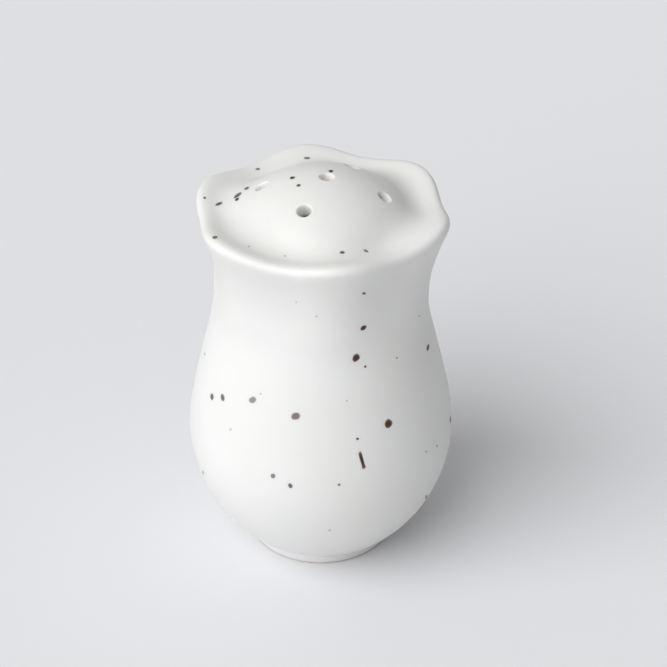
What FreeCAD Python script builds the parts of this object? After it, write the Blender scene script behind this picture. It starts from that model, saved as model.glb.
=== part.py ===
import FreeCAD, Part

import os
from math import atan2, cos, degrees, hypot, pi, radians, sin, sqrt, tan

from FreeCAD import Vector

# Table shaker: one slip-cast glazed ceramic body and one soft stopper in its base.
# Millimetres, +Z up, origin at the centre of the foot ring on the table.

# Foot ring and recessed base
foot_radius = 15.3
foot_height = 2.5
foot_lean = 0.65
foot_edge_round = 0.6
foot_ring_width = 3.0
recess_depth = 2.2
floor_thickness = 3.0
filling_hole_radius = 9.0

# Belly, neck and flare of the outer skin
belly_radius = 28.5
belly_height = 27.9
belly_start_angle = 34.3
belly_fullness_low = 0.29
belly_fullness_under = 0.45
belly_fullness_over = 0.31
neck_radius = 22.8
neck_height = 59.3
neck_fullness_under = 0.19
neck_fullness_over = 0.30
flare_angle = 20.9
flare_fullness = 0.58

# Lip with six soft corners
lip_radius = 24.95
lip_height = 79.7
lip_round = 1.3
lip_shift = 0.4
corner_count = 6
corner_out = 0.95
corner_rise = 0.72
corner_angle = 98.3
corner_start_height = 51.0

# Domed top inside the lip
dome_top_height = 88.0
dome_round = 25.3
dome_edge_radius = 13.5
valley_radius = 20.8
valley_height = 80.35
top_fullness = 0.4

# Walls
wall = 3.0
crown_wall = 3.7
shoulder_height = 74.5
inner_floor_radius = 11.5

# Pouring holes: one at the crown and four around it, pierced by hand
pour_hole_radius = 1.4
pour_hole_edge_round = 0.6
crown_hole_offset = 1.0
crown_hole_angle = 0.0
ring_hole_offsets = [13.0, 10.7, 12.7, 10.6]
ring_hole_angles = [-9.3, 53.2, 169.3, 249.9]

# Stopper
stopper_clearance = 0.08
stopper_seat_gap = 0.05
flange_radius = 11.2
flange_thickness = 1.3
flange_edge_round = 0.4
plug_reach = 3.4
plug_rib_height = 1.4
plug_rib_depth = 0.5
plug_lead = 0.8
grip_radius = 5.6
grip_depth = 5.0
nub_radius = 1.9
nub_length = 4.6
nub_sink = 0.2

# Spare length of the cutters past the faces that they open
cutter_margin = 1.0

# Fineness of the skin
ring_poles = 60
body_steps = 8
lip_steps = 5
top_steps = 4
dome_steps = 7


def smooth(share):
    """Soft step from 0 to 1."""
    share = min(1.0, max(0.0, share))
    return share * share * (3.0 - 2.0 * share)


def bezier(start, start_pull, end_pull, end, share):
    """Point at a share of the way along a four-point curve."""
    back = 1.0 - share
    weights = [back**3, 3 * back**2 * share, 3 * back * share**2, share**3]
    points = [start, start_pull, end_pull, end]
    radius = sum(w * p[0] for w, p in zip(weights, points))
    height = sum(w * p[1] for w, p in zip(weights, points))
    return radius, height


def outer_side():
    """Middle outline of the side, from the top of the foot ring to the lip, as (radius, height)."""
    start = (foot_radius + foot_lean, foot_height)
    belly = (belly_radius, belly_height)
    neck = (neck_radius, neck_height)
    flare = radians(flare_angle)
    lip = (lip_radius + lip_round * cos(flare), lip_height - lip_round * sin(flare))
    low = belly_height - foot_height
    middle = neck_height - belly_height
    high = lip[1] - neck_height
    lean = radians(belly_start_angle)
    rise = low * belly_fullness_low
    spans = [
        (
            start,
            (start[0] + rise * cos(lean), start[1] + rise * sin(lean)),
            (belly_radius, belly_height - low * belly_fullness_under),
            belly,
        ),
        (
            belly,
            (belly_radius, belly_height + middle * belly_fullness_over),
            (neck_radius, neck_height - middle * neck_fullness_under),
            neck,
        ),
        (
            neck,
            (neck_radius, neck_height + high * neck_fullness_over),
            (lip[0] - high * flare_fullness * sin(flare), lip[1] - high * flare_fullness * cos(flare)),
            lip,
        ),
    ]
    points = [start]
    for span in spans:
        points += [bezier(*span, (step + 1) / body_steps) for step in range(body_steps)]
    return points


def lip_arc():
    """Rounded lip, from the end of the flare over the crest, without its first point."""
    first = -radians(flare_angle)
    turn = pi / 2 - first
    angles = [first + turn * (step + 1) / lip_steps for step in range(lip_steps)]
    return [(lip_radius + lip_round * cos(a), lip_height + lip_round * sin(a)) for a in angles]


def dome_height(radius):
    """Height of the crown's round part over the table."""
    return dome_top_height - dome_round + sqrt(dome_round**2 - radius**2)


def dome_slope(radius):
    """Fall of the crown per millimetre outwards."""
    return radius / sqrt(dome_round**2 - radius**2)


def top_inside_lip():
    """Outline from the lip's crest down to the valley and up the edge of the dome."""
    crest = (lip_radius, lip_height + lip_round)
    valley = (valley_radius, valley_height)
    edge = (dome_edge_radius, dome_height(dome_edge_radius))
    in_reach = (crest[0] - valley[0]) * top_fullness
    up_reach = (valley[0] - edge[0]) * top_fullness
    under_edge = (edge[0] + up_reach, edge[1] - dome_slope(dome_edge_radius) * up_reach)
    inwards = (crest, (crest[0] - in_reach, crest[1]), (valley[0] + in_reach, valley[1]), valley)
    upwards = (valley, (valley[0] - up_reach, valley[1]), under_edge, edge)
    points = [bezier(*inwards, (step + 1) / top_steps) for step in range(top_steps)]
    points += [bezier(*upwards, (step + 1) / top_steps) for step in range(top_steps)]
    return points


def dome_arc():
    """Crown from the edge of its round part to its middle."""
    radii = [dome_edge_radius * (1 - (step + 1) / dome_steps) for step in range(dome_steps)]
    return [(radius, dome_height(radius)) for radius in radii]


def side_corner_share(height):
    """How much of the lip's corners shows at a height on the side."""
    return smooth((height - corner_start_height) / (lip_height - lip_round - corner_start_height))


def top_corner_share(radius):
    """How much of the lip's corners shows at a radius on the top."""
    return smooth((radius - dome_edge_radius) / (lip_radius - dome_edge_radius))


def skin_outline():
    """The whole outline with its share of the corners, as (radius, height, share)."""
    points = [(r, z, side_corner_share(z)) for r, z in outer_side()]
    points += [(r, z, 1.0) for r, z in lip_arc()]
    points += [(r, z, top_corner_share(r)) for r, z in top_inside_lip()]
    points += [(r, z, 0.0) for r, z in dome_arc()]
    return points


def outer_skin():
    """Closed smooth surface over side, lip and top, with the lip's corners and its small shift to +X."""
    outline = skin_outline()
    lengths = [0.0]
    for before, after in zip(outline, outline[1:]):
        lengths.append(lengths[-1] + hypot(after[0] - before[0], after[1] - before[1]))
    middle = Part.BSplineCurve()
    middle.interpolate(Points=[Vector(r, 0, z) for r, z, share in outline], Parameters=lengths)
    corner = Part.BSplineCurve()
    corner.interpolate(
        Points=[Vector(r + corner_out * share, 0, z + corner_rise * share) for r, z, share in outline],
        Parameters=lengths,
    )
    pole_turn = 2 * pi / ring_poles
    round_gain = 3.0 / (2.0 + cos(pole_turn))
    corner_gain = 3.0 / (2.0 + cos(corner_count * pole_turn))
    rows = []
    for index in range(ring_poles):
        angle = index * pole_turn
        wave = corner_gain * cos(corner_count * (angle - radians(corner_angle)))
        row = []
        for mean, peak in zip(middle.getPoles(), corner.getPoles()):
            radius = (mean.x + (peak.x - mean.x) * wave) * round_gain
            height = mean.z + (peak.z - mean.z) * wave
            middle_x = lip_shift * side_corner_share(height)
            row.append(Vector(middle_x + radius * cos(angle), radius * sin(angle), height))
        rows.append(row)
    skin = Part.BSplineSurface()
    skin.buildFromPolesMultsKnots(
        rows,
        [1] * (ring_poles + 1),
        middle.getMultiplicities(),
        [float(index) for index in range(ring_poles + 1)],
        middle.getKnots(),
        True,
        False,
        3,
        middle.Degree,
    )
    return skin.toShape()


def revolve(edges):
    """Solid of revolution about Z from edges that close a face in the XZ plane."""
    face = Part.Face(Part.Wire(Part.__sortEdges__(edges)))
    return face.revolve(Vector(0, 0, 0), Vector(0, 0, 1), 360)


def line(start, end):
    """Straight edge between two (radius, height) points."""
    return Part.LineSegment(Vector(start[0], 0, start[1]), Vector(end[0], 0, end[1])).toShape()


def arc(start, through, end):
    """Round edge through three (radius, height) points."""
    points = [Vector(p[0], 0, p[1]) for p in (start, through, end)]
    return Part.Arc(*points).toShape()


def outline_solid(points):
    """Solid of revolution from a closed chain of (radius, height) points with straight sides."""
    return revolve([line(a, b) for a, b in zip(points, points[1:] + points[:1])])


def vessel():
    """Solid inside the outer skin, closed flat at the top of the foot ring."""
    skin = outer_skin()
    rim = min(skin.Edges, key=lambda edge: edge.BoundBox.ZMax)
    base = Part.Face(Part.Wire(rim))
    shell = Part.makeShell([skin, base])
    shell.sewShape()
    return Part.Solid(shell)


def foot():
    """Leaning foot ring with a rounded lower edge, solid up into the body."""
    top = foot_height + floor_thickness / 2
    lean = atan2(foot_lean, foot_height)
    tangent = foot_edge_round * tan((pi / 2 - lean) / 2)
    round_start = (foot_radius - tangent, 0.0)
    round_end = (foot_radius + sin(lean) * tangent, cos(lean) * tangent)
    middle_turn = -(pi / 2 + lean) / 2
    round_middle = (
        round_start[0] + foot_edge_round * cos(middle_turn),
        foot_edge_round + foot_edge_round * sin(middle_turn),
    )
    root = (foot_radius + foot_lean, foot_height)
    return revolve(
        [
            line((0, 0), round_start),
            arc(round_start, round_middle, round_end),
            line(round_end, root),
            line(root, (foot_radius, top)),
            line((foot_radius, top), (0, top)),
            line((0, top), (0, 0)),
        ]
    )


def inward(points, depth):
    """Points moved by a depth to the inside, square to the outline that they make."""
    moved = []
    for before, here, after in zip(points, points[1:], points[2:]):
        run = (after[0] - before[0], after[1] - before[1])
        length = hypot(*run)
        moved.append((here[0] - depth * run[1] / length, here[1] + depth * run[0] / length))
    return moved


def cavity():
    """Space for the salt: it follows the outside one wall deep, and is thicker over the crown."""
    floor = recess_depth + floor_thickness
    side = [p for p in inward(outer_side(), wall) if floor + wall < p[1] < shoulder_height]
    crown = inward(top_inside_lip()[top_steps - 2:] + dome_arc(), crown_wall)
    crown = [p for p in crown if p[0] < neck_radius - wall]
    top = (0.0, dome_top_height - crown_wall)
    start = (inner_floor_radius, floor)
    points = [Vector(r, 0, z) for r, z in [start] + side + crown + [top]]
    wall_curve = Part.BSplineCurve()
    wall_curve.interpolate(Points=points, InitialTangent=Vector(1, 0, 0), FinalTangent=Vector(-1, 0, 0))
    return revolve([line((0, floor), start), wall_curve.toShape(), line(top, (0, floor))])


def recess():
    """Hollow under the base, inside the foot ring."""
    radius = foot_radius - foot_ring_width
    return Part.makeCylinder(radius, recess_depth + cutter_margin, Vector(0, 0, -cutter_margin))


def filling_hole():
    """Round hole through the base."""
    length = recess_depth + floor_thickness + 2 * cutter_margin
    return Part.makeCylinder(filling_hole_radius, length, Vector(0, 0, -cutter_margin))


def pour_hole(offset, direction):
    """Cutter for one pouring hole, square to the dome, with a soft edge where the glaze runs in."""
    round_edge = pour_hole_edge_round
    wide = pour_hole_radius + round_edge
    middle = (wide - round_edge * cos(pi / 4), -round_edge + round_edge * sin(pi / 4))
    cavity_height = dome_top_height - recess_depth - floor_thickness
    low = -cavity_height / 2
    cutter = revolve(
        [
            line((0, low), (pour_hole_radius, low)),
            line((pour_hole_radius, low), (pour_hole_radius, -round_edge)),
            arc((pour_hole_radius, -round_edge), middle, (wide, 0)),
            line((wide, 0), (wide, crown_wall)),
            line((wide, crown_wall), (0, crown_wall)),
            line((0, crown_wall), (0, low)),
        ]
    )
    lean = degrees(atan2(dome_slope(offset), 1.0))
    cutter.rotate(Vector(0, 0, 0), Vector(0, 1, 0), lean)
    cutter.translate(Vector(offset, 0, dome_height(offset)))
    cutter.rotate(Vector(0, 0, 0), Vector(0, 0, 1), direction)
    cutter.translate(Vector(lip_shift, 0, 0))
    return cutter


def shaker_body():
    """The ceramic casting: foot, belly, neck, lip and domed top in one piece."""
    hollow = cavity().fuse(filling_hole()).fuse(recess())
    body = vessel().fuse(foot()).cut(hollow)
    body = body.cut(pour_hole(crown_hole_offset, crown_hole_angle))
    for offset, direction in zip(ring_hole_offsets, ring_hole_angles):
        body = body.cut(pour_hole(offset, direction))
    return body


def base_stopper():
    """Soft stopper: a flange under the base, a ribbed plug in the filling hole and a nub to pull it by."""
    seat = recess_depth - stopper_seat_gap
    under = seat - flange_thickness
    plug_radius = filling_hole_radius - stopper_clearance
    core = plug_radius - plug_rib_depth
    top = recess_depth + floor_thickness + plug_reach
    rib_low = seat + plug_rib_height
    rib_high = top - plug_lead - plug_rib_height
    body = outline_solid(
        [
            (0, under),
            (flange_radius - flange_edge_round, under),
            (flange_radius, under + flange_edge_round),
            (flange_radius, seat),
            (plug_radius, seat),
            (plug_radius, rib_low),
            (core, rib_low + plug_rib_depth),
            (core, rib_high - plug_rib_depth),
            (plug_radius, rib_high),
            (plug_radius, top - plug_lead),
            (plug_radius - plug_lead, top),
            (0, top),
        ]
    )
    body = body.cut(Part.makeCylinder(grip_radius, grip_depth, Vector(0, 0, under)))
    straight = nub_length - nub_radius
    root = under + grip_depth
    nub = Part.makeCylinder(nub_radius, straight + nub_sink, Vector(0, 0, root - straight))
    tip = Part.makeSphere(nub_radius, Vector(0, 0, root - straight))
    return body.fuse(nub).fuse(tip)


def save(name, shape):
    """Writes one node's solid and says how large it is."""
    shape = shape.removeSplitter()
    solid = shape.Solids[0]
    solid.exportStep(f"parts/{name}.step")
    box = solid.BoundBox
    print(name, "solids", len(shape.Solids), "valid", solid.isValid(), "volume", round(solid.Volume, 1))
    print("  x", round(box.XMin, 2), round(box.XMax, 2), "y", round(box.YMin, 2), round(box.YMax, 2))
    print("  z", round(box.ZMin, 2), round(box.ZMax, 2))


os.makedirs("parts", exist_ok=True)
save("shaker_body", shaker_body())
save("base_stopper", base_stopper())
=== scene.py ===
import math
import random
from collections import namedtuple

import bmesh
import bpy
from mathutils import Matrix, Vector
from mathutils.bvhtree import BVHTree
from mathutils.noise import noise


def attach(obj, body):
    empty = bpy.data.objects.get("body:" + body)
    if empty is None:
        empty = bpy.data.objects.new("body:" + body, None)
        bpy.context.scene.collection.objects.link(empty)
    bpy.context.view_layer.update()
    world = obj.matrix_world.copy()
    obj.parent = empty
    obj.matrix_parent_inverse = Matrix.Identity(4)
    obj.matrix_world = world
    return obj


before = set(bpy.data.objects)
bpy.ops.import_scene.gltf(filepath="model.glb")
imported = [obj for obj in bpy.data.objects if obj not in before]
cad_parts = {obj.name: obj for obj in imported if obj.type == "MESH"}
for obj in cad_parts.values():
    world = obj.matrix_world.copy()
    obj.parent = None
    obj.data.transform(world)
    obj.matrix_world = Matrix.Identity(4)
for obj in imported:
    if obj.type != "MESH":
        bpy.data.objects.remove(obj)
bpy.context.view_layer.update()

MM = 0.001

# Photograph's frame and the camera that took it
PHOTO_SIZE = 667
FOCAL_PIXELS = 2400
SENSOR_WIDTH = 36.0
CAMERA_RANGE = 517.0 * MM
CAMERA_ELEVATION = math.radians(33.38)
CAMERA_PIVOT_HEIGHT = 40.0 * MM
CAMERA_CLIP_START = 0.01
CAMERA_CLIP_END = 20.0
AIM = Vector((2.75, 0.0, 49.91)) * MM

# Studio lamps by azimuth, elevation and spread in degrees and by strength, with an even fill
KEY_LAMP = (-48, 41, 60, 2.55)
FRONT_LAMP = (-25, 12, 80, 0.30)
BACK_LAMP = (-150, 50, 80, 0.35)
FILL_COLOUR = (1.0, 1.0, 1.0, 1.0)
FILL_STRENGTH = 0.28
FLOOR_SIZE = 4.0
FLOOR_COLOUR = (0.79, 0.795, 0.82, 1.0)
FLOOR_ROUGHNESS = 0.9
FLOOR_SHINE = 0.1

# How fine the noise is that breaks up the surfaces
SOFT_DETAIL = 2.0
FINE_DETAIL = 3.0

# Light that scatters in the ceramic, under the glaze and under the inner wash with its painted
# light
CERAMIC_GLOW = 0.3
CERAMIC_SCATTER = (1.6 * MM, 1.4 * MM, 1.2 * MM)

# Glaze: white with warmer clouds, satin, faintly rippled
GLAZE_COLOUR = (0.79, 0.795, 0.785, 1.0)
GLAZE_WARMTH = (0.985, 0.975, 0.955)
GLAZE_CLOUD_SCALE = 45.0
GLAZE_CLOUD_RANGE = (0.35, 0.75)
GLAZE_GLOSS_SCALE = 160.0
GLAZE_ROUGHNESS = (0.34, 0.46)
GLAZE_RIPPLE_SCALE = 260.0
GLAZE_RIPPLE_STRENGTH = 0.06
GLAZE_RIPPLE_DEPTH = 0.4 * MM
GLAZE_SHINE = 0.35

# Bare clay on the foot ring's resting face, up to this height
BARE_CLAY_COLOUR = (0.66, 0.60, 0.52, 1.0)
BARE_CLAY_TOP = 0.6 * MM

# Cream wash on the faces, above INNER_LOWEST, that see their own piece within INNER_REACH. Its
# colour is lighter than the glaze: partly the wash's own tan, partly painted light that brightens
# the walls of the pouring holes and the hollow
INNER_WASH_AND_PAINTED_LIGHT_COLOUR = (0.94, 0.925, 0.89, 1.0)
INNER_SHADE = (0.95, 0.95, 0.95)
INNER_CLOUD_SCALE = 220.0
INNER_ROUGHNESS = 0.6
INNER_LOWEST = 5.0 * MM
INNER_REACH = 62.0 * MM
PROBE_LIFT = 0.05 * MM

# Soft rubber of the stopper
RUBBER_COLOUR = (0.66, 0.66, 0.63, 1.0)
RUBBER_SHADE = (0.60, 0.60, 0.57, 1.0)
RUBBER_CLOUD_SCALE = 300.0
RUBBER_ROUGHNESS = 0.55
RUBBER_GLOW = 0.15
RUBBER_SCATTER = (0.10 * MM, 0.09 * MM, 0.075 * MM)
RUBBER_GRAIN_SCALE = 900.0
RUBBER_GRAIN_STRENGTH = 0.15
RUBBER_GRAIN_DEPTH = 0.2 * MM

# Iron specks: dark middle and brown rim, over tones that go from 0 at the middle to 1 at the rim
SPECK_DARK = (0.046, 0.025, 0.020, 1.0)
SPECK_BROWN = (0.14, 0.075, 0.050, 1.0)
SPECK_BROWN_RANGE = (0.35, 0.85)
SPECK_FADE_RANGE = (1.0, 0.8)

# A speck's patch: rings out to its rim, the rim's uneven reach, and its lift off the glaze
PATCH_RINGS = (0.35, 0.6, 0.8, 0.92, 1.0)
PATCH_SIDES = 24
PATCH_TURNS = [2 * math.pi * k / PATCH_SIDES for k in range(PATCH_SIDES)]
RIM_WOBBLE = 0.16
RIM_NOISE_RADIUS = 0.9
RIM_NOISE_STEP = 3.7
SPECK_LIFT = 0.02 * MM

# Specks seen in the photograph: centre, length and width in its pixels, lean in degrees up
# from level, and strength
Speck = namedtuple("Speck", "across down long wide lean strength")
TOP_SPECKS = [
    Speck(306.9, 158.1, 7.0, 2.6, 0, 0.8),
    Speck(257.8, 169.1, 5.0, 2.4, 10, 0.8),
    Speck(292.4, 177.8, 5.6, 3.0, 8, 1.0),
    Speck(298.6, 185.4, 5.0, 3.0, 8, 0.9),
    Speck(331.0, 171.2, 5.0, 3.0, 0, 1.0),
    Speck(246.7, 188.3, 6.0, 2.6, 25, 0.9),
    Speck(237.6, 195.4, 10.5, 3.4, 35, 0.9),
    Speck(237.0, 199.4, 5.0, 2.8, 30, 1.0),
    Speck(218.9, 203.9, 8.0, 3.0, 22, 0.9),
    Speck(204.7, 197.8, 3.0, 2.6, 0, 0.9),
    Speck(215.0, 237.5, 6.0, 3.2, 10, 0.85),
    Speck(342.2, 252.4, 5.6, 3.0, 0, 0.9),
    Speck(365.8, 250.9, 5.6, 2.6, -25, 0.75),
    Speck(249.0, 246.4, 2.6, 2.0, 40, 0.35),
]
SIDE_SPECKS = [
    Speck(364.1, 293.4, 4.0, 2.6, 0, 0.9),
    Speck(363.4, 327.8, 7.4, 4.6, 40, 1.0),
    Speck(355.9, 358.0, 9.4, 7.0, 48, 1.0),
    Speck(365.3, 366.6, 2.8, 2.6, 0, 0.9),
    Speck(427.8, 347.6, 7.2, 2.6, 80, 1.0),
    Speck(212.0, 396.8, 7.4, 3.6, 92, 0.85),
    Speck(222.7, 397.6, 8.2, 4.0, 100, 0.85),
    Speck(252.5, 400.0, 8.0, 6.6, 25, 0.68),
    Speck(260.6, 393.8, 2.4, 2.0, 0, 0.4),
    Speck(295.6, 416.2, 9.8, 7.6, 20, 0.8),
    Speck(388.4, 423.7, 10.0, 7.6, 70, 1.0),
    Speck(357.5, 438.8, 3.0, 2.8, 0, 0.95),
    Speck(273.1, 475.9, 5.4, 5.2, 0, 0.75),
    Speck(290.3, 485.7, 5.8, 4.4, -50, 0.85),
    Speck(339.1, 484.7, 3.2, 3.0, 0, 0.75),
    Speck(230.6, 429.4, 2.6, 2.2, 0, 0.4),
    Speck(450.4, 419.6, 8.0, 1.4, 90, 0.9),
    Speck(436.9, 445.9, 3.0, 2.2, 90, 0.45),
    Speck(426.2, 496.8, 4.6, 1.8, 65, 0.8),
    Speck(285.0, 256.0, 2.6, 2.0, 0, 0.35),
    Speck(396.9, 357.8, 2.6, 2.4, 0, 0.4),
    Speck(426.3, 451.6, 3.0, 2.2, 0, 0.35),
    Speck(444.9, 459.2, 4.6, 1.4, 80, 0.5),
    Speck(203.1, 472.5, 4.0, 1.6, 110, 0.5),
    Speck(204.7, 354.0, 3.0, 1.8, 90, 0.4),
    Speck(316.6, 316.3, 2.4, 2.0, 0, 0.35),
    Speck(296.3, 302.2, 2.2, 2.0, 0, 0.3),
    Speck(329.7, 530.3, 3.0, 2.2, 0, 0.35),
    Speck(346.9, 400.6, 2.6, 1.8, 0, 0.3),
    Speck(419.0, 316.0, 2.4, 2.0, 0, 0.35),
]

# Run of iron down the glaze: how squarely it ends, and its knob's place, spread and gain in width
RUN_SPECK = Speck(361.9, 460.3, 19.2, 3.8, -74, 1.0)
RUN_SQUARENESS = 0.9
RUN_KNOB_PLACE = 0.78
RUN_KNOB_SPREAD = 0.16
RUN_KNOB_GAIN = 0.6

# Specks on the sides that the photograph doesn't show, of the same sizes and density. They lie
# where the glaze faces away from the camera by more than HIDDEN_FACING
HIDDEN_SEED = 5
HIDDEN_COUNT = 46
HIDDEN_LOW = 3.5 * MM
HIDDEN_HIGH = 84.0 * MM
HIDDEN_SIZES = (0.45 * MM, 0.55 * MM, 0.65 * MM, 0.9 * MM, 1.1 * MM, 1.3 * MM, 1.7 * MM)
HIDDEN_FAINT_SIZE = 0.55 * MM
HIDDEN_FAINT_STRENGTH = 0.6
HIDDEN_SLIMMEST = 0.55
HIDDEN_ROUNDEST = 0.95
HIDDEN_FACING = -0.12
CAST_RANGE = 60.0 * MM
CAST_HEIGHT = 4.0 * MM


def new_object(name, data):
    """Object in the scene that holds a mesh, light or camera."""
    made = bpy.data.objects.new(name, data)
    bpy.context.scene.collection.objects.link(made)
    return made


def look_along(thing, direction):
    """Turns a camera or lamp to look along a direction."""
    thing.rotation_mode = "QUATERNION"
    thing.rotation_quaternion = direction.to_track_quat("-Z", "Y")


def toned(colour, shares):
    """Colour with each of its three parts scaled by its own share."""
    return tuple(part * share for part, share in zip(colour, shares)) + (1.0,)


class Shading:
    """A node material in the making. Its textures lie in the object's own coordinates."""

    def __init__(self, name):
        self.material = bpy.data.materials.new(name)
        self.material.use_nodes = True
        self.tree = self.material.node_tree
        self.shader = self.tree.nodes["Principled BSDF"]

    def feed(self, node, values):
        """Gives a node's inputs, by name or number, plain values or other nodes' outputs."""
        for key, value in values.items():
            if isinstance(value, bpy.types.NodeSocket):
                self.tree.links.new(value, node.inputs[key])
            else:
                node.inputs[key].default_value = value

    def node(self, kind, values, **settings):
        """One node with its settings and what its inputs get."""
        made = self.tree.nodes.new(kind)
        for key, value in settings.items():
            setattr(made, key, value)
        self.feed(made, values)
        return made

    def surface(self, **values):
        """Gives the shader's inputs what they get, with _ for each space in their names."""
        self.feed(self.shader, {key.replace("_", " "): value for key, value in values.items()})

    def place(self):
        """The object's own coordinates."""
        return self.node("ShaderNodeTexCoord", {}).outputs["Object"]

    def attribute(self, name):
        """A number that the mesh holds at each of its points."""
        return self.node("ShaderNodeAttribute", {}, attribute_name=name).outputs["Fac"]

    def cloud(self, scale, detail):
        """Noise around 0.5."""
        values = {"Vector": self.place(), "Scale": scale, "Detail": detail}
        return self.node("ShaderNodeTexNoise", values).outputs["Fac"]

    def stretch(self, value, source, target=(0.0, 1.0)):
        """Value stretched from its source range to its target range."""
        values = {
            "Value": value,
            "From Min": source[0],
            "From Max": source[1],
            "To Min": target[0],
            "To Max": target[1],
        }
        return self.node("ShaderNodeMapRange", values).outputs["Result"]

    def product(self, first, second):
        """Two values multiplied."""
        values = {0: first, 1: second}
        return self.node("ShaderNodeMath", values, operation="MULTIPLY").outputs[0]

    def mix(self, share, first, second):
        """Colour that goes from first to second as share goes from 0 to 1."""
        values = {0: share, 6: first, 7: second}
        return self.node("ShaderNodeMix", values, data_type="RGBA").outputs[2]

    def bumps(self, scale, strength, depth):
        """Small unevenness of the whole surface."""
        height = self.cloud(scale, SOFT_DETAIL)
        values = {"Height": height, "Strength": strength, "Distance": depth}
        self.surface(Normal=self.node("ShaderNodeBump", values).outputs["Normal"])

    def scatter(self, weight, reach):
        """Light that scatters under the surface, as far as reach says for red, green and blue."""
        self.surface(Subsurface_Weight=weight, Subsurface_Radius=reach, Subsurface_Scale=1.0)


def glaze_skin(shading):
    """Satin glaze with small ripples and soft changes of gloss. Returns its colour."""
    gloss = shading.cloud(GLAZE_GLOSS_SCALE, FINE_DETAIL)
    shading.surface(
        Roughness=shading.stretch(gloss, (0.0, 1.0), GLAZE_ROUGHNESS),
        Specular_IOR_Level=GLAZE_SHINE,
    )
    shading.bumps(GLAZE_RIPPLE_SCALE, GLAZE_RIPPLE_STRENGTH, GLAZE_RIPPLE_DEPTH)
    shading.scatter(CERAMIC_GLOW, CERAMIC_SCATTER)
    warm = shading.stretch(shading.cloud(GLAZE_CLOUD_SCALE, SOFT_DETAIL), GLAZE_CLOUD_RANGE)
    return shading.mix(warm, GLAZE_COLOUR, toned(GLAZE_COLOUR, GLAZE_WARMTH))


def glaze_material():
    """White satin glaze over the casting, with bare clay where the foot ring stands."""
    shading = Shading("speckled_glaze")
    glaze = glaze_skin(shading)
    height = shading.node("ShaderNodeSeparateXYZ", {0: shading.place()}).outputs["Z"]
    bare = shading.stretch(height, (BARE_CLAY_TOP, BARE_CLAY_TOP / 2))
    shading.surface(Base_Color=shading.mix(bare, glaze, BARE_CLAY_COLOUR))
    return shading.material


def inner_material():
    """Thin cream wash inside the shaker and its pouring holes, lighter than the glaze as painted
    light on these recessed walls.
    """
    shading = Shading("inner_wash_and_painted_light")
    cloud = shading.cloud(INNER_CLOUD_SCALE, FINE_DETAIL)
    # Cream tone set lighter than the glaze: painted light in the holes and the hollow
    colour = shading.mix(cloud, INNER_WASH_AND_PAINTED_LIGHT_COLOUR, toned(INNER_WASH_AND_PAINTED_LIGHT_COLOUR, INNER_SHADE))
    shading.surface(Base_Color=colour, Roughness=INNER_ROUGHNESS)
    shading.scatter(CERAMIC_GLOW, CERAMIC_SCATTER)
    return shading.material


def speck_material():
    """Iron specks: dark in the middle, brown at the rim, running out into the glaze."""
    shading = Shading("iron_speck")
    glaze = glaze_skin(shading)
    tone = shading.attribute("speck_tone")
    brown = shading.stretch(tone, SPECK_BROWN_RANGE)
    iron = shading.mix(brown, SPECK_DARK, SPECK_BROWN)
    fade = shading.stretch(tone, SPECK_FADE_RANGE)
    strength = shading.product(fade, shading.attribute("speck_depth"))
    shading.surface(Base_Color=shading.mix(strength, glaze, iron))
    return shading.material


def stopper_material():
    """Soft translucent-white rubber."""
    shading = Shading("soft_rubber")
    cloud = shading.cloud(RUBBER_CLOUD_SCALE, FINE_DETAIL)
    colour = shading.mix(cloud, RUBBER_COLOUR, RUBBER_SHADE)
    shading.surface(Base_Color=colour, Roughness=RUBBER_ROUGHNESS)
    shading.scatter(RUBBER_GLOW, RUBBER_SCATTER)
    shading.bumps(RUBBER_GRAIN_SCALE, RUBBER_GRAIN_STRENGTH, RUBBER_GRAIN_DEPTH)
    return shading.material


def floor_material():
    """Plain pale sweep."""
    shading = Shading("studio_floor")
    shading.surface(
        Base_Color=FLOOR_COLOUR,
        Roughness=FLOOR_ROUGHNESS,
        Specular_IOR_Level=FLOOR_SHINE,
    )
    return shading.material


def make_camera():
    """Camera at the photograph's place, aim and focal length."""
    data = bpy.data.cameras.new("photo_camera")
    data.sensor_width = SENSOR_WIDTH
    data.lens = FOCAL_PIXELS / PHOTO_SIZE * SENSOR_WIDTH
    data.clip_start = CAMERA_CLIP_START
    data.clip_end = CAMERA_CLIP_END
    camera = new_object("photo_camera", data)
    back = Vector((0.0, -math.cos(CAMERA_ELEVATION), math.sin(CAMERA_ELEVATION)))
    camera.location = Vector((0.0, 0.0, CAMERA_PIVOT_HEIGHT)) + back * CAMERA_RANGE
    look_along(camera, AIM - camera.location)
    bpy.context.scene.camera = camera
    return camera


def sun_lamp(name, azimuth, elevation, spread, strength):
    """Broad distant lamp, placed by its direction from the shaker in degrees."""
    light = bpy.data.lights.new(name, "SUN")
    light.angle = math.radians(spread)
    light.energy = strength
    turn = math.radians(azimuth)
    height = math.sin(math.radians(elevation))
    level = math.cos(math.radians(elevation))
    towards = Vector((math.sin(turn) * level, -math.cos(turn) * level, height))
    lamp = new_object(name, light)
    lamp.location = towards
    look_along(lamp, -towards)


def make_floor():
    """Pale floor under the shaker."""
    half = FLOOR_SIZE / 2
    corners = [(-half, -half, 0), (half, -half, 0), (half, half, 0), (-half, half, 0)]
    mesh = bpy.data.meshes.new("studio_floor")
    mesh.from_pydata(corners, [], [(0, 1, 2, 3)])
    floor = new_object("studio_floor", mesh)
    mesh.materials.append(floor_material())


def make_light():
    """Soft studio light: a key lamp, two weak broad ones and an even fill."""
    sun_lamp("key", *KEY_LAMP)
    sun_lamp("front", *FRONT_LAMP)
    sun_lamp("back", *BACK_LAMP)
    world = bpy.data.worlds.new("studio")
    world.use_nodes = True
    fill = world.node_tree.nodes["Background"]
    fill.inputs["Color"].default_value = FILL_COLOUR
    fill.inputs["Strength"].default_value = FILL_STRENGTH
    bpy.context.scene.world = world


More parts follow.
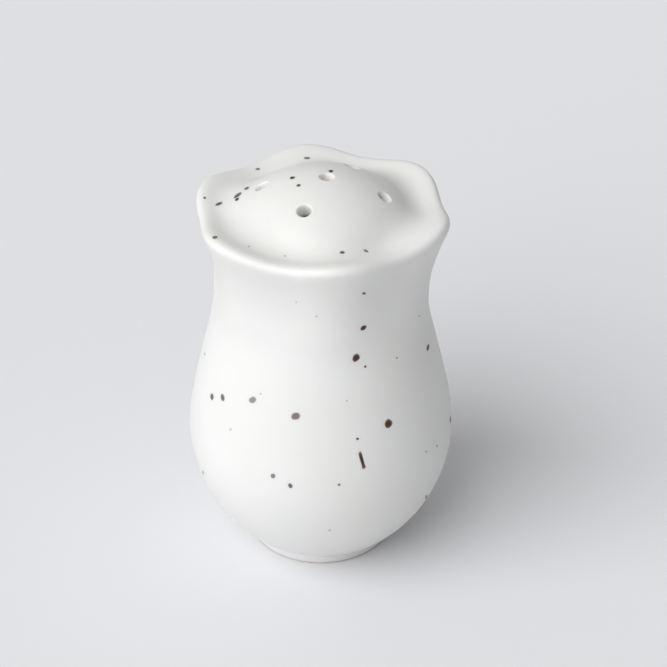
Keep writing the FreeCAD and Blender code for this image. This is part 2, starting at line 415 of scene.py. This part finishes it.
def give_material(piece, material):
    """Puts one material on the whole of a piece."""
    piece.data.materials.clear()
    piece.data.materials.append(material)
    for face in piece.data.polygons:
        face.material_index = 0


def surface_tree(piece):
    """Search tree over a piece's triangles."""
    made = bmesh.new()
    made.from_mesh(piece.data)
    tree = BVHTree.FromBMesh(made)
    made.free()
    return tree


def mark_inside(piece, tree, material):
    """Gives a second material to the faces that look at another face of their own piece."""
    piece.data.materials.append(material)
    for face in piece.data.polygons:
        if face.center.z < INNER_LOWEST:
            continue
        start = face.center + face.normal * PROBE_LIFT
        if tree.ray_cast(start, face.normal, INNER_REACH)[0] is not None:
            face.material_index = 1


def camera_ray(camera, across, down):
    """Start and direction of the ray through a pixel of the photograph."""
    middle = PHOTO_SIZE / 2
    local = Vector((across - middle, middle - down, -FOCAL_PIXELS))
    direction = camera.rotation_quaternion @ local
    return camera.location, direction.normalized()


def rim_reach(turn, seed):
    """How far a patch's rim reaches in one direction, as a share of an even rim."""
    across = math.cos(turn) * RIM_NOISE_RADIUS
    along = math.sin(turn) * RIM_NOISE_RADIUS
    return 1.0 + RIM_WOBBLE * noise(Vector((across, along, seed * RIM_NOISE_STEP)))


class SpeckSheet:
    """Collects small patches that lie on the glaze, with a tone from their middle to their rim."""

    def __init__(self, name, tree):
        self.name = name
        self.tree = tree
        self.verts = []
        self.faces = []
        self.tones = []
        self.depths = []

    def touch(self, origin, direction):
        """Point and normal where a ray meets the glaze, or None."""
        point, normal = self.tree.ray_cast(origin, direction)[:2]
        return None if point is None else (point, normal)

    def patch(self, find, strength, seed):
        """One patch: find(u, v) gives the point and normal at a place on the unit disc."""
        rim = [(rim_reach(turn, seed), math.cos(turn), math.sin(turn)) for turn in PATCH_TURNS]
        rows = [[find(0.0, 0.0)]]
        for share in PATCH_RINGS:
            rows.append([find(share * reach * u, share * reach * v) for reach, u, v in rim])
        if any(place is None for row in rows for place in row):
            return
        start = len(self.verts)
        for share, row in zip((0.0,) + PATCH_RINGS, rows):
            for point, normal in row:
                self.verts.append(point + normal * SPECK_LIFT)
                self.tones.append(share)
                self.depths.append(strength)
        sides = [(k, (k + 1) % PATCH_SIDES) for k in range(PATCH_SIDES)]
        for k, n in sides:
            self.faces.append((start, start + 1 + k, start + 1 + n))
        for ring in range(len(PATCH_RINGS) - 1):
            inner = start + 1 + ring * PATCH_SIDES
            outer = inner + PATCH_SIDES
            for k, n in sides:
                self.faces.append((inner + k, outer + k, outer + n, inner + n))

    def from_photo(self, camera, speck, seed, width_at=None):
        """A patch seen in the photograph, laid on the glaze along the camera's rays."""
        lean = math.radians(speck.lean)

        def find(u, v):
            along = u * speck.long / 2
            off = v * speck.wide / 2 * (width_at(u) if width_at else 1.0)
            across = speck.across + along * math.cos(lean) + off * math.sin(lean)
            down = speck.down - along * math.sin(lean) + off * math.cos(lean)
            return self.touch(*camera_ray(camera, across, down))

        self.patch(find, speck.strength, seed)

    def hidden(self, camera, chance, seed):
        """A patch at a chance place that the camera doesn't see. Returns whether one was made."""
        turn = chance.uniform(0.0, 2 * math.pi)
        height = chance.uniform(HIDDEN_LOW, HIDDEN_HIGH)
        start = Vector((math.cos(turn) * CAST_RANGE, math.sin(turn) * CAST_RANGE, height))
        met = self.touch(start, Vector((-start.x, -start.y, 0.0)).normalized())
        if met is None:
            return False
        centre, normal = met
        if normal.dot((camera.location - centre).normalized()) > HIDDEN_FACING:
            return False
        long = chance.choice(HIDDEN_SIZES)
        wide = long * chance.uniform(HIDDEN_SLIMMEST, HIDDEN_ROUNDEST)
        lean = chance.uniform(0.0, math.pi)
        level = Vector((-normal.y, normal.x, 0.0)).normalized()
        upward = normal.cross(level)
        first = level * math.cos(lean) + upward * math.sin(lean)
        second = normal.cross(first)

        def find(u, v):
            above = centre + normal * CAST_HEIGHT
            return self.touch(above + first * (u * long / 2) + second * (v * wide / 2), -normal)

        faint = long <= HIDDEN_FAINT_SIZE
        self.patch(find, HIDDEN_FAINT_STRENGTH if faint else 1.0, seed)
        return True

    def piece(self, body, material):
        """Makes the patches one piece that rides on a body."""
        mesh = bpy.data.meshes.new(self.name)
        mesh.from_pydata(self.verts, [], self.faces)
        for attribute, values in (("speck_tone", self.tones), ("speck_depth", self.depths)):
            mesh.attributes.new(attribute, "FLOAT", "POINT").data.foreach_set("value", values)
        for face in mesh.polygons:
            face.use_smooth = True
        mesh.materials.append(material)
        made = new_object(self.name, mesh)
        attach(made, body)


def run_width(u):
    """Width along the run of iron and its knob, as a share of an oval's width there."""
    even = 1.0 / math.sqrt(1.0 - RUN_SQUARENESS * min(1.0, u * u))
    return even * (1.0 + RUN_KNOB_GAIN * math.exp(-((u - RUN_KNOB_PLACE) / RUN_KNOB_SPREAD) ** 2))


def make_specks(camera, tree):
    """Iron specks where the photograph shows them, and as many again on the hidden sides."""
    sheet = SpeckSheet("iron_specks", tree)
    shown = TOP_SPECKS + SIDE_SPECKS
    for seed, speck in enumerate(shown):
        sheet.from_photo(camera, speck, seed)
    sheet.from_photo(camera, RUN_SPECK, len(shown), run_width)
    chance = random.Random(HIDDEN_SEED)
    for seed in range(len(shown), len(shown) + HIDDEN_COUNT):
        while not sheet.hidden(camera, chance, seed):
            continue
    sheet.piece("shaker", speck_material())


bpy.context.scene.view_settings.view_transform = "Standard"
camera = make_camera()
make_floor()
make_light()

body_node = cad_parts["shaker_body"]
body_tree = surface_tree(body_node)
give_material(body_node, glaze_material())
# Faces inside the shaker and its holes get the cream wash with its painted light
mark_inside(body_node, body_tree, inner_material())
give_material(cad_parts["base_stopper"], stopper_material())
make_specks(camera, body_tree)
